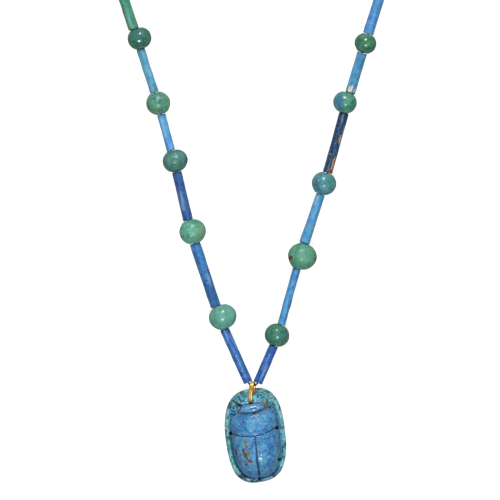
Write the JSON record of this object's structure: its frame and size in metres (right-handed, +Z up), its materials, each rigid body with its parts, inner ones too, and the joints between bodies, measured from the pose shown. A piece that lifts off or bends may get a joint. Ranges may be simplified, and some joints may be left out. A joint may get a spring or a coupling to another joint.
{
  "type": "scarab amulet necklace",
  "caption": "Carved and glazed scarab amulet on a gold loop, strung on a closed necklace of glazed tube beads and round beads, lying flat.",
  "frame": {"origin": "centre of the amulet's flat underside", "axes": "+Z up from the underside, +Y from the amulet along the string towards the neck, +X to the right seen from above"},
  "size_m": [0.0899, 0.2064, 0.01],
  "materials": {
    "scarab_glaze": "gloss",
    "ball_glaze": "gloss",
    "tube_glaze": "gloss",
    "gold": "polished",
    "thread": "matte"
  },
  "bodies": {
    "root": {"scarab_amulet": "scarab_glaze", "gold_loop": "gold", "necklace_thread": "thread", "left_ball_01": "ball_glaze", "left_ball_02": "ball_glaze", "left_ball_03": "ball_glaze", "left_ball_04": "ball_glaze", "left_ball_05": "ball_glaze", "left_ball_06": "ball_glaze", "left_ball_07": "ball_glaze", "left_ball_08": "ball_glaze", "left_ball_09": "ball_glaze", "left_ball_10": "ball_glaze", "left_tube_01": "tube_glaze", "left_tube_02": "tube_glaze", "left_tube_03": "tube_glaze", "left_tube_04": "tube_glaze", "left_tube_05": "tube_glaze", "left_tube_06": "tube_glaze", "left_tube_07": "tube_glaze", "left_tube_08": "tube_glaze", "left_tube_09": "tube_glaze", "left_tube_10": "tube_glaze", "left_tube_11": "tube_glaze", "right_ball_01": "ball_glaze", "right_ball_02": "ball_glaze", "right_ball_03": "ball_glaze", "right_ball_04": "ball_glaze", "right_ball_05": "ball_glaze", "right_ball_06": "ball_glaze", "right_ball_07": "ball_glaze", "right_ball_08": "ball_glaze", "right_ball_09": "ball_glaze", "right_ball_10": "ball_glaze", "right_tube_01": "tube_glaze", "right_tube_02": "tube_glaze", "right_tube_03": "tube_glaze", "right_tube_04": "tube_glaze", "right_tube_05": "tube_glaze", "right_tube_06": "tube_glaze", "right_tube_07": "tube_glaze", "right_tube_08": "tube_glaze", "right_tube_09": "tube_glaze", "right_tube_10": "tube_glaze", "right_tube_11": "tube_glaze"}
  },
  "joints": []
}
